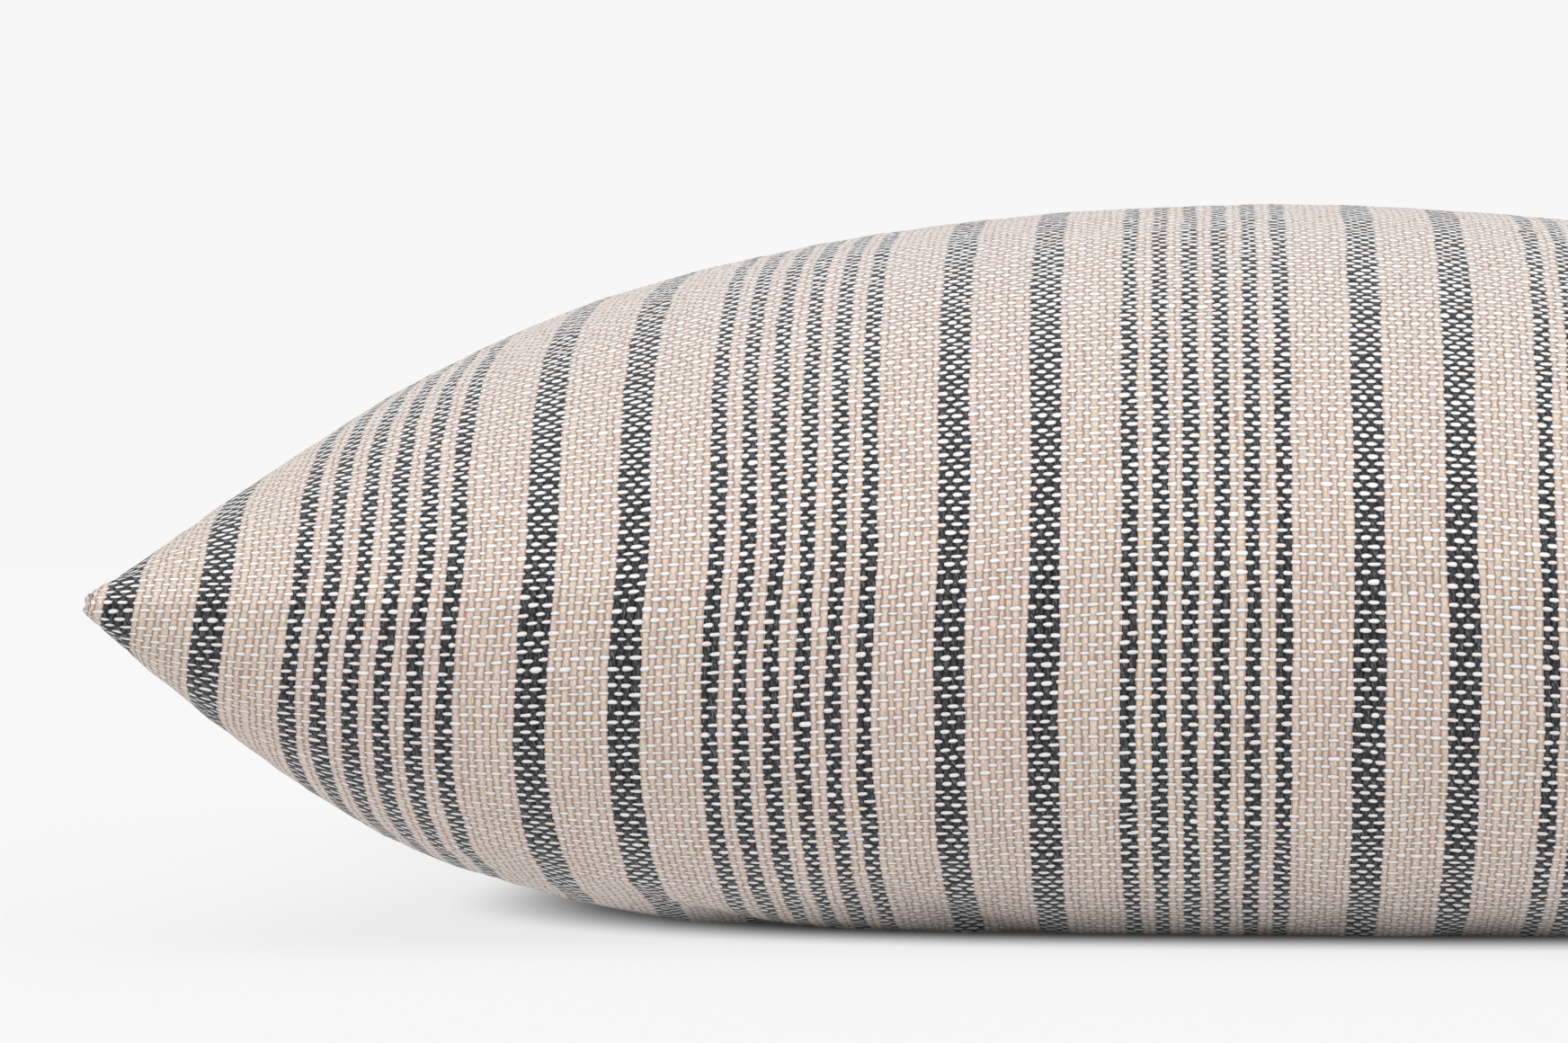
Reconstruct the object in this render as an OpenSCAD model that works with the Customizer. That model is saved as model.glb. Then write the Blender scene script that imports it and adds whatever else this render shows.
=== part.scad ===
// Square throw pillow: one striped cloth folded at the front edge and sewn at the sides,
// a zip along the back edge, and a separate stuffed insert inside.
// It lies on its lower face: X runs along the front fold, stripes run along Y, +Z is up,
// and the origin is the middle of the patch that rests on the floor.

/* [Filled pillow] */
// Half the distance between two neighbouring corners of the filled cover
half = 263; // [240:1:285]
// How far the middle of each side seam and of the front fold is drawn in
side_pull = 28; // [10:1:34]
// How far the middle of the back edge is drawn in (the zip holds it straighter)
back_pull = 17; // [10:1:24]
// Height of the corners above the floor
corner_z = 79; // [70:1:90]
// How much higher the middle of an edge stands than its corners
edge_rise = 9; // [0:1:14]
// Height of the crown above the middle of an edge
crown = 91; // [70:1:110]
// Part of the lower face, from 0 to 1, that lies flat on the floor
flat_from = 0.51; // [0.4:0.01:0.7]

/* [Cover cloth] */
// Thickness of the woven cloth
cloth = 1.5; // [0.8:0.1:2]
// Depth of the side seam allowances turned inside
allowance = 12; // [8:1:15]
// Half the narrow slit in which a seam's threads lie
slit = 0.3; // [0.25:0.05:0.5]

/* [Zip] */
// Length of the zip between its end stops
zip_len = 410; // [360:5:410]
// Half the height of the slot between the cloth's edges
lip = 5; // [4.8:0.1:6]
// Width of each tape
tape_w = 10.5; // [9:0.5:11]
// Thickness of each tape
tape_t = 0.6; // [0.4:0.1:0.8]
// Depth of the tapes' outer face behind the edge of the cover
tape_depth = 5; // [4.8:0.1:5.5]
// Distance from tooth to tooth
tooth_pitch = 2; // [1.5:0.5:4]
// Length of the slider's body
slider_len = 9; // [8:0.5:12]
// Length of the pull tab
pull_len = 22; // [16:1:24]

/* [Insert] */
// Gap between the cover's edge and the insert's edge
insert_gap = 16; // [15:1:20]
// Thickness of the insert's cotton shell
shell_t = 0.6; // [0.4:0.1:1]

/* [Labels] */
// Width of both blank labels along their seams
label_w = 35; // [25:1:50]
// Height of both blank labels
label_h = 20; // [12:1:24]

/* [Hidden] */
$fn = 32;

cells = 26;              // grid cells from edge to edge on the cover
insert_cells = 20;       // the same on the insert's shells
fill_cells = 14;         // the same on the filling
edge_z = corner_z + edge_rise;
back_y = half - back_pull;
side_x = half - side_pull;
zip_z = edge_z - 0.4;    // the zip's centre line
tape_y = back_y - tape_depth;
coil_t = 2;              // thickness of the coils over the tape
coil_gap = 0.3;          // half the gap between the two rows of teeth
tooth_h = 0.9;
spine_h = 1.4;
spine_z = coil_gap + tooth_h;
play = 0.25;             // clearance between the slider and what it runs on
plate_t = 1;             // thickness of the slider's plates
slider_x = zip_len / 2 - 5;
hinge_y = back_y - 0.2;
hinge_r = 0.5;
insert_in = (half - insert_gap) / half;
insert_crown = crown - 4;
insert_floor = 3.2;
thread = "#b3a18e";

// ---- The pillow's shape: u runs from side to side and v from front to back, -1 to 1 ----

function grade(i, n) = sin(90 * (2 * i / n - 1));
// The zip keeps the back edge straight and level nearly to its corners.
function edge_power(v) = v > 0 ? 6 : 2;
function shape_x(u, v) = u * (half - side_pull * (1 - v * v));
function shape_y(u, v) =
    v * (half - (v > 0 ? back_pull : side_pull) * (1 - pow(abs(u), edge_power(v))));
function mid_z(u, v) =
    corner_z + edge_rise * (v > 0 ? 1 - pow(abs(u * v), 10) : pow(1 - pow(u * v, 2), 4));
function rise(u, v) =
    pow(max(0, 1 - u * u), 0.4) * pow(max(0, 1 - pow(abs(v), 3.2)), 0.77);
function sink_run(u, v) = min(1, (1 - u * u) * (1 - v * v) / flat_from);
function sink(u, v) = sqrt(max(0, sink_run(u, v) * (2 - sink_run(u, v))));
// Half the opening at the edges: the zip's slot at the back, elsewhere the seam's slit.
function opening(u, v) =
    v <= -1 ? 0 : slit + (abs(u) < 0.83 && v > 0 ? (lip - slit) * pow(v, 20) : 0);

function upper(u, v, in_xy, high, gap) =
    [in_xy * shape_x(u, v), in_xy * shape_y(u, v), mid_z(u, v) + gap + high * rise(u, v)];
function lower(u, v, in_xy, floor_z, gap) =
    let(z = mid_z(u, v) - gap)
    [in_xy * shape_x(u, v), in_xy * shape_y(u, v), z - (z - floor_z) * sink(u, v)];

// A solid between two grids of points, a outside and b inside, nr rows of nc points.
module slab(a, b, nc, nr) {
    n = nc * nr;
    cell = function(i, j) j * nc + i;
    rim = concat(
        [for (i = [0:nc - 1]) cell(i, 0)],
        [for (j = [1:nr - 1]) cell(nc - 1, j)],
        [for (i = [nc - 2:-1:0]) cell(i, nr - 1)],
        [for (j = [nr - 2:-1:1]) cell(0, j)]);
    m = len(rim);
    polyhedron(
        points = concat(a, b),
        faces = concat(
            [for (j = [0:nr - 2], i = [0:nc - 2]) each [
                [cell(i, j), cell(i, j + 1), cell(i + 1, j + 1)],
                [cell(i, j), cell(i + 1, j + 1), cell(i + 1, j)],
                [n + cell(i, j), n + cell(i + 1, j + 1), n + cell(i, j + 1)],
                [n + cell(i, j), n + cell(i + 1, j), n + cell(i + 1, j + 1)]]],
            [for (k = [0:m - 1]) let(p = rim[k], q = rim[(k + 1) % m]) each [
                [p, q, n + q],
                [p, n + q, n + p]]]));
}

// ---- Cover ----

// One row of the sheet across the cover, with a seam allowance at each end.
function cover_row(v, top, inner) =
    let(
        in_xy = inner ? (half - cloth) / half : 1,
        high = inner ? crown - cloth : crown,
        floor_z = inner ? cloth : 0,
        layer = v <= -1 ? 0 : (inner ? 0.15 + (cloth - 0.25) * (1 - pow(abs(v), 16)) : 0),
        tuck = (half - 4 - (inner ? cloth : 0)) / half,
        face = function(u) top
            ? upper(u, v, in_xy, high, opening(u, v))
            : lower(u, v, in_xy, floor_z, opening(u, v)),
        side = top ? 1 : -1,
        z = mid_z(1, v) + side * (opening(1, v) + layer),
        seam = function(s) [s * in_xy * shape_x(1, v), in_xy * shape_y(1, v), z],
        free = function(s) [s * (shape_x(1, v) - allowance), tuck * shape_y(1, v), z])
    concat(
        [free(-1), seam(-1)],
        [for (i = [1:cells - 1]) face(grade(i, cells))],
        [seam(1), free(1)]);

function cover_sheet(inner) = concat(
    [for (j = [cells:-1:0]) each cover_row(grade(j, cells), false, inner)],
    [for (j = [1:cells]) each cover_row(grade(j, cells), true, inner)]);

module cover_cloth()
    color("#c9b6a2")
        slab(cover_sheet(false), cover_sheet(true), cells + 3, 2 * cells + 1);

// Threads along a side seam, in the slit between the two layers.
module seam_stitches(s)
    color(thread)
        for (k = [-62:62])
            let(v = k / 65)
                translate([s * (shape_x(1, v) - 2.2), shape_y(1, v), mid_z(1, v)])
                    cube([0.6, 2.8, 1.8 * slit], center = true);

// Overlock threads wrapped round the free edges of a seam's allowances.
module overlock(s)
    color("#e6dccb")
        for (k = [-40:40])
            let(v = k / 43)
                translate([s * (shape_x(1, v) - allowance - 0.4), shape_y(1, v) * 0.98, mid_z(1, v)])
                    cube([0.6, 1.6, 2 * (slit + cloth)], center = true);

// Threads that close the back edge between the end of the zip and the corner.
module back_seam_stitches(s)
    color(thread)
        for (k = [0:5])
            let(u = 0.9 + 0.015 * k)
                translate([s * shape_x(u, 1), shape_y(u, 1) - 1, mid_z(u, 1)])
                    cube([2.4, 0.6, 1.8 * slit], center = true);

// ---- Zip: the tapes stand upright just inside the back edge ----

module zip_tape(s)
    color("#8d8175")
        translate([0, tape_y - tape_t / 2, zip_z + s * (0.5 + tape_w / 2)])
            cube([zip_len + 12, tape_t, tape_w], center = true);

// One row of teeth on its spine.
module zip_coil(s) {
    count = floor(zip_len / tooth_pitch);
    teeth = [for (k = [0:count - 1], step = [0:3]) [
        (k - count / 2 + (step < 2 ? 0.2 : 0.8)) * tooth_pitch,
        step == 1 || step == 2 ? coil_gap : spine_z]];
    outline = concat(
        [[-zip_len / 2, spine_z + spine_h], [-zip_len / 2, spine_z]],
        teeth,
        [[zip_len / 2, spine_z], [zip_len / 2, spine_z + spine_h]]);
    color("#a3978a")
        translate([0, tape_y + coil_t, zip_z])
            rotate([90, 0, 0])
                linear_extrude(coil_t)
                    scale([1, s])
                        polygon(outline);
}

// Stitches through the cloth and the tape, above and below the slot.
module zip_stitches(s)
    color(thread)
        for (x = [-200:5:200])
            let(outer_y = shape_y(x / half, 1) - 0.8)
                translate([x, (tape_y + outer_y) / 2, zip_z + s * 8.5])
                    cube([3.2, outer_y - tape_y, 0.5], center = true);

module zip_top_stops()
    color("#8f8f8c")
        for (s = [-1, 1])
            translate([zip_len / 2 + 1.7, tape_y + 1.1, zip_z + s * 1.9])
                cube([2, 2.2, 2.8], center = true);

module zip_bottom_stop()
    color("#8f8f8c")
        translate([-zip_len / 2 - 1.7, tape_y + 1.1, zip_z])
            cube([2, 2.2, 6.4], center = true);

// The slider's body: two plates joined by a divider between the rows, with side flanges.
module zip_slider() {
    inner_y = tape_y - tape_t - play;
    outer_y = tape_y + coil_t + play;
    wall_z = spine_z + spine_h + play;
    color("#8f8f8c")
        translate([slider_x, 0, zip_z]) {
            difference() {
                translate([0, (inner_y + outer_y) / 2, 0])
                    cube([slider_len, outer_y - inner_y + 2 * plate_t, 2 * (wall_z + 0.8)], center = true);
                translate([0, (inner_y + outer_y) / 2, 0])
                    cube([slider_len + 1, outer_y - inner_y, 2 * wall_z], center = true);
                translate([0, tape_y - tape_t / 2, 0])
                    cube([slider_len + 1, tape_t + 2 * play, 20], center = true);
            }
            translate([slider_len / 2 - 1.5, (inner_y + outer_y) / 2, 0])
                cube([2, outer_y - inner_y + 0.2, 0.3], center = true);
            // bridge that holds the pull's pin
            difference() {
                hull() {
                    translate([0, outer_y + plate_t / 2, 0])
                        cube([6, plate_t, 2.6], center = true);
                    translate([0, hinge_y, 0])
                        cylinder(h = 2.6, r = 1.3, center = true);
                }
                translate([0, hinge_y, 0])
                    cylinder(h = 4, r = hinge_r + 0.06, center = true);
            }
        }
}

// The pull: a tab with two arms and a pin through the slider's bridge.
module zip_pull() {
    tab_w = 6.4;
    tab_t = 1;
    arm_w = 1.2;
    color("#9a9a96")
        translate([slider_x, hinge_y, zip_z]) {
            cylinder(h = tab_w, r = hinge_r, center = true);
            for (s = [-1, 1])
                translate([-2.4, 0, s * (tab_w - arm_w) / 2])
                    cube([5.4, tab_t, arm_w], center = true);
            difference() {
                hull() {
                    translate([-4, 0, 0])
                        cube([2, tab_t, tab_w], center = true);
                    translate([4 - pull_len, 0, 0])
                        rotate([90, 0, 0])
                            cylinder(h = tab_t, r = 3.6, center = true);
                }
                translate([4 - pull_len, 0, 0])
                    rotate([90, 0, 0])
                        cylinder(h = 3, r = 1.6, center = true);
            }
        }
}

// ---- Blank labels ----

// Sewn into the left side seam and turned up inside the cover.
module care_label()
    color("#efece4")
        translate([-side_x, -label_w / 2, edge_z]) {
            translate([1, 0, -0.2])
                cube([allowance + 0.6, label_w, 0.4]);
            translate([allowance + 1.2, 0, -0.2])
                cube([0.4, label_w, label_h]);
        }

// Held in the insert's right seam, standing against its edge.
module insert_label()
    color("#f4f1ea")
        translate([insert_in * side_x + 0.9, -label_w / 2, edge_z - 0.2])
            cube([0.4, label_w, label_h]);

// ---- Insert ----

function insert_grid(n, top, inset) = [for (j = [0:n], i = [0:n])
    let(
        u = grade(i, n),
        v = grade(j, n),
        in_xy = insert_in * (half - inset) / half)
    top
        ? upper(u, v, in_xy, insert_crown - inset, slit)
        : lower(u, v, in_xy, insert_floor + inset, slit)];

module insert_shell_upper()
    color("#f3f0e8")
        slab(insert_grid(insert_cells, true, 0), insert_grid(insert_cells, true, shell_t),
            insert_cells + 1, insert_cells + 1);

module insert_shell_lower()
    color("#ece8df")
        slab(insert_grid(insert_cells, false, shell_t), insert_grid(insert_cells, false, 0),
            insert_cells + 1, insert_cells + 1);

module insert_stitch(u, v, turn)
    translate([insert_in * shape_x(u, v), insert_in * shape_y(u, v), mid_z(u, v)])
        rotate([0, 0, turn])
            translate([0, 0.5, 0])
                cube([2.6, 0.5, 1.7 * slit], center = true);

// The seam round three edges of the insert and both ends of the fourth.
module insert_seam_stitches()
    color("#d8d2c6") {
        for (k = [-44:44])
            let(t = k / 46) {
                insert_stitch(t, -1, 0);
                insert_stitch(1, t, 90);
                insert_stitch(-1, t, -90);
                if (abs(k) > 16)
                    insert_stitch(t, 1, 180);
            }
    }

// The slot through which the insert was stuffed, sewn shut last.
module insert_closing_stitches()
    color("#cfc7b8")
        for (k = [-15:15])
            insert_stitch(k / 46, 1, 180);

module insert_fill()
    color("#fbfaf6")
        slab(insert_grid(fill_cells, true, shell_t + 1.2), insert_grid(fill_cells, false, shell_t + 1.2),
            fill_cells + 1, fill_cells + 1);

cover_cloth();
seam_stitches(-1);  // seam_stitches_left
seam_stitches(1);  // seam_stitches_right
overlock(-1);  // overlock_left
overlock(1);  // overlock_right
back_seam_stitches(-1);  // back_seam_stitches_left
back_seam_stitches(1);  // back_seam_stitches_right
zip_tape(1);  // zip_tape_upper
zip_tape(-1);  // zip_tape_lower
zip_coil(1);  // zip_coil_upper
zip_coil(-1);  // zip_coil_lower
zip_stitches(1);  // zip_stitches_upper
zip_stitches(-1);  // zip_stitches_lower
zip_top_stops();
zip_bottom_stop();
zip_slider();
zip_pull();
care_label();
insert_shell_upper();
insert_shell_lower();
insert_seam_stitches();
insert_closing_stitches();
insert_label();
insert_fill();
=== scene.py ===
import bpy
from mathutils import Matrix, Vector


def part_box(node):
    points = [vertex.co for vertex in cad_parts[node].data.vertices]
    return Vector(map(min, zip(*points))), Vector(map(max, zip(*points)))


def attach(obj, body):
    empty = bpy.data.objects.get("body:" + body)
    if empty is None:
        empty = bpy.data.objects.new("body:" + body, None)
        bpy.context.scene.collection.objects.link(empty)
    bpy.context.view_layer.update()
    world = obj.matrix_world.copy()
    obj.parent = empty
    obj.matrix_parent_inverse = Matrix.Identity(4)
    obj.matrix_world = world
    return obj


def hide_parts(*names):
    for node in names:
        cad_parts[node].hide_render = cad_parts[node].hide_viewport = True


bl_info = {
    "name": "Striped Throw Pillow",
    "version": (1, 0, 0),
    "blender": (4, 5, 0),
    "location": "3D View > Sidebar > Pillow",
    "description": "Builds a striped throw pillow, its zip, labels and insert around the packed frame",
    "category": "Object",
}

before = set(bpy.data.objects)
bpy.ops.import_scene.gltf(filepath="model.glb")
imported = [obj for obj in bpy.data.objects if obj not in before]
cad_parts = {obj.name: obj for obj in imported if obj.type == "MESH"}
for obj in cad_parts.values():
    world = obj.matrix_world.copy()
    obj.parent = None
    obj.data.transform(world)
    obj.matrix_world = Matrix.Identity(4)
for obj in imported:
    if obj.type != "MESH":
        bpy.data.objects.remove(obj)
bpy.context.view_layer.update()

import math

import bpy
import numpy as np
from bpy.props import FloatProperty, FloatVectorProperty, IntProperty, PointerProperty

MM = 0.001
COVER_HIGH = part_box("cover_cloth")[1]
HALF = COVER_HIGH.x
ZIP_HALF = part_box("zip_coil_upper")[1].x
# sewing: the side allowances, the way from stitch to stitch, each thread's radius and the coil's pitch
SIDE_ALLOWANCE = 12 * MM
SIDE_PITCH = 3.0 * MM
ZIP_PITCH = 3.1 * MM
INSERT_PITCH = 3.4 * MM
THREAD = 0.24 * MM
ZIP_THREAD = 0.27 * MM
INSERT_THREAD = 0.22 * MM
OVERLOCK_THREAD = 0.22 * MM
COIL_PITCH = 1.5 * MM


# ---------------------------------------------------------------- settings


class PillowForm(bpy.types.PropertyGroup):
    """The filled pillow's shape."""

    side_pull: FloatProperty(
        name="Side pull", description="How far the middle of each side and of the front fold is drawn in",
        default=0.028, unit="LENGTH")
    back_pull: FloatProperty(
        name="Back pull", description="How far the middle of the zipped edge is drawn in",
        default=0.017, unit="LENGTH")
    corner_z: FloatProperty(
        name="Corner height", description="Height of the corners above the floor",
        default=0.079, unit="LENGTH")
    edge_rise: FloatProperty(
        name="Edge rise", description="How much higher the middle of an edge stands than its corners",
        default=0.009, unit="LENGTH")
    flat_from: FloatProperty(
        name="Flat share", description="How soon the lower face reaches the floor, from 0 to 1",
        default=0.51)
    draw_in: FloatProperty(
        name="Draw in", description="Share by which the lower leaf is drawn towards the middle",
        default=0.085)
    slack: FloatProperty(
        name="Slack", description="Farthest that the cloth settles from its drafted shape",
        default=0.006, unit="LENGTH")


class PillowCloth(bpy.types.PropertyGroup):
    """The striped cloth's weave and colours."""

    flat_size: FloatProperty(
        name="Flat size", description="Side of the flat cover", default=0.559, unit="LENGTH")
    thickness: FloatProperty(
        name="Thickness", description="Thickness of the cloth", default=0.0013, unit="LENGTH")
    ends: IntProperty(name="Warp yarns", description="Warp yarns from side to side", default=310)
    picks: IntProperty(name="Weft yarns", description="Weft yarns from front to back", default=274)
    sand: FloatVectorProperty(
        name="Sand", description="First colour of the tan warp", subtype="COLOR",
        default=(0.79, 0.64, 0.53))
    rose: FloatVectorProperty(
        name="Rose", description="Second colour of the tan warp", subtype="COLOR",
        default=(0.77, 0.595, 0.53))
    straw: FloatVectorProperty(
        name="Straw", description="Third colour of the tan warp", subtype="COLOR",
        default=(0.80, 0.67, 0.55))
    black: FloatVectorProperty(
        name="Black", description="Colour of the black warp", subtype="COLOR",
        default=(0.030, 0.031, 0.034))
    weft: FloatVectorProperty(
        name="Weft", description="Colour of the off-white weft", subtype="COLOR",
        default=(0.93, 0.915, 0.91))
    # painted shade: the colour that stands for the shade in the gaps between yarns
    gap: FloatVectorProperty(
        name="Gap", description="Colour in the gaps between yarns", subtype="COLOR",
        default=(0.44, 0.30, 0.23))


class PillowStage(bpy.types.PropertyGroup):
    """The camera and the light."""

    distance: FloatProperty(
        name="Distance", description="From the camera to the middle of the front fold",
        default=1.1, unit="LENGTH")
    aside: FloatProperty(
        name="Aside", description="How far the camera stands to the left of the pillow's middle",
        default=0.014, unit="LENGTH")
    height: FloatProperty(
        name="Height", description="Height of the camera above the floor", default=0.093, unit="LENGTH")
    turn: FloatProperty(
        name="Turn", description="How far the camera looks to the left",
        default=math.radians(4.87), subtype="ANGLE")
    tilt: FloatProperty(
        name="Tilt", description="How far the camera looks up", default=math.radians(0.21),
        subtype="ANGLE")
    lens: FloatProperty(name="Lens", description="Focal length in millimetres", default=113.5)
    sky: FloatProperty(name="Sky", description="Strength of the even light", default=0.62)
    key: FloatProperty(name="Key", description="Strength of the soft light from above", default=1.15)
    fill: FloatProperty(name="Fill", description="Strength of the soft light from the front", default=0.8)
    backdrop: FloatProperty(name="Backdrop", description="Brightness of the wall behind", default=0.93)


# ---------------------------------------------------------------- shader building


class Sock:
    """A node's output that can be used in plain arithmetic."""

    def __init__(self, shader, socket):
        self.shader = shader
        self.socket = socket

    def __add__(self, other):
        return self.shader.math("ADD", self, other)

    def __radd__(self, other):
        return self.shader.math("ADD", other, self)

    def __sub__(self, other):
        return self.shader.math("SUBTRACT", self, other)

    def __rsub__(self, other):
        return self.shader.math("SUBTRACT", other, self)

    def __mul__(self, other):
        return self.shader.math("MULTIPLY", self, other)

    def __rmul__(self, other):
        return self.shader.math("MULTIPLY", other, self)

    def __truediv__(self, other):
        return self.shader.math("DIVIDE", self, other)

    def __rtruediv__(self, other):
        return self.shader.math("DIVIDE", other, self)

    def __pow__(self, other):
        return self.shader.math("POWER", self, other)

    def __mod__(self, other):
        return self.shader.math("FLOORED_MODULO", self, other)

    def __abs__(self):
        return self.shader.math("ABSOLUTE", self)

    def __lt__(self, other):
        return self.shader.math("LESS_THAN", self, other)


class Shader:
    """One material under construction."""

    def __init__(self, name):
        self.material = bpy.data.materials.new(name)
        self.material.use_nodes = True
        self.tree = self.material.node_tree
        self.surface = self.tree.nodes["Principled BSDF"]

    def node(self, kind, settings=None, sockets=None, out=0):
        """A node of any type, its settings, its sockets' values or links, and one of its outputs."""
        node = self.tree.nodes.new(kind)
        for key, value in (settings or {}).items():
            setattr(node, key, value)
        for key, value in (sockets or {}).items():
            self.feed(node.inputs[key], value)
        return Sock(self, node.outputs[out])

    def feed(self, target, value):
        """Links a socket to the target, or sets the target to a number or a colour."""
        if isinstance(value, Sock):
            self.tree.links.new(value.socket, target)
        elif target.type == "RGBA" and len(value) == 3:
            target.default_value = (*value, 1)
        else:
            target.default_value = value

    def math(self, operation, *values):
        return self.node("ShaderNodeMath", {"operation": operation}, dict(enumerate(values)))

    def vector(self, x=0.0, y=0.0, z=0.0):
        return self.node("ShaderNodeCombineXYZ", None, {0: x, 1: y, 2: z})

    def noise(self, where, scale=1.0, detail=2.0, rough=0.5):
        return self.node(
            "ShaderNodeTexNoise", None,
            {"Vector": where, "Scale": scale, "Detail": detail, "Roughness": rough})

    def dice(self, where):
        """An even random number for each whole-number place."""
        return self.node("ShaderNodeTexWhiteNoise", {"noise_dimensions": "3D"}, {"Vector": where})

    def ease(self, value, low, high):
        """0 below low, 1 above high, and smooth between them."""
        return self.node(
            "ShaderNodeMapRange", {"interpolation_type": "SMOOTHSTEP"},
            {"Value": value, "From Min": low, "From Max": high})

    def mix(self, share, a, b, blend="MIX"):
        return self.node(
            "ShaderNodeMix", {"data_type": "RGBA", "blend_type": blend}, {0: share, 6: a, 7: b}, out=2)

    def least(self, a, b):
        return self.math("MINIMUM", a, b)

    def most(self, a, b):
        return self.math("MAXIMUM", a, b)

    def cloth_place(self):
        """The place in the cloth, counted in warp and weft yarns."""
        uv = self.node("ShaderNodeUVMap", {"uv_map": "yarns"})
        split = self.node("ShaderNodeSeparateXYZ", None, {0: uv})
        return split, Sock(self, split.socket.node.outputs[1])

    def object_place(self):
        """The place in the object's own frame, in millimetres."""
        at = self.node("ShaderNodeTexCoord", out=3)
        split = self.node("ShaderNodeSeparateXYZ", None, {0: at})
        x, y, z = (Sock(self, s) for s in split.socket.node.outputs)
        return x / MM, y / MM, z / MM

    def bump(self, height, depth):
        """Relief of the given depth in metres."""
        return self.node("ShaderNodeBump", None, {"Strength": 1.0, "Distance": depth, "Height": height})

    def finish(self, **values):
        """Sets the surface's sockets; names use _ for a space."""
        for key, value in values.items():
            self.feed(self.surface.inputs[key.replace("_", " ")], value)
        return self.material


# ---------------------------------------------------------------- materials


def black_warp(s, end):
    """1 on black warp yarns: two stripes of four, then six of two, in every repeat."""
    repeat, first = 54, 4
    place = (end + (repeat - first)) % repeat
    wide = s.most(place < 4, abs(place - 13.5) < 2)
    narrow = (abs(place - 34.5) < 11) * ((place % 4) < 2)
    return s.most(wide, narrow)


def tan_yarn(s, look, u, v, end, fibre):
    """A tan warp yarn's colour: each has its own tint, with paler and darker strands."""
    tone = s.dice(s.vector(end, 31))
    tan = s.mix(s.ease(tone, 0.25, 0.6), look.sand, look.rose)
    tan = s.mix(s.ease(tone, 0.6, 0.95), tan, look.straw)
    strand = s.noise(s.vector(u * 3.2 + v * 0.5, v * 0.3, 9), detail=2)
    tan = s.mix(s.ease(strand, 0.42, 0.62) * 0.6, tan, look.straw)
    tan = s.mix(s.ease(strand, 0.42, 0.3) * 0.5, tan, look.rose)
    tan = s.mix(s.ease(fibre, 0.48, 0.7) * 0.6, tan, look.weft)
    tan = s.mix(s.ease(fibre, 0.5, 0.3) * 0.7, tan, look.gap)
    fleck = s.ease(s.noise(s.vector(u * 0.9, v * 0.35, 17), detail=2), 0.75, 0.8)
    return s.mix(fleck * 0.7, tan, (0.52, 0.25, 0.11))


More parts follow.
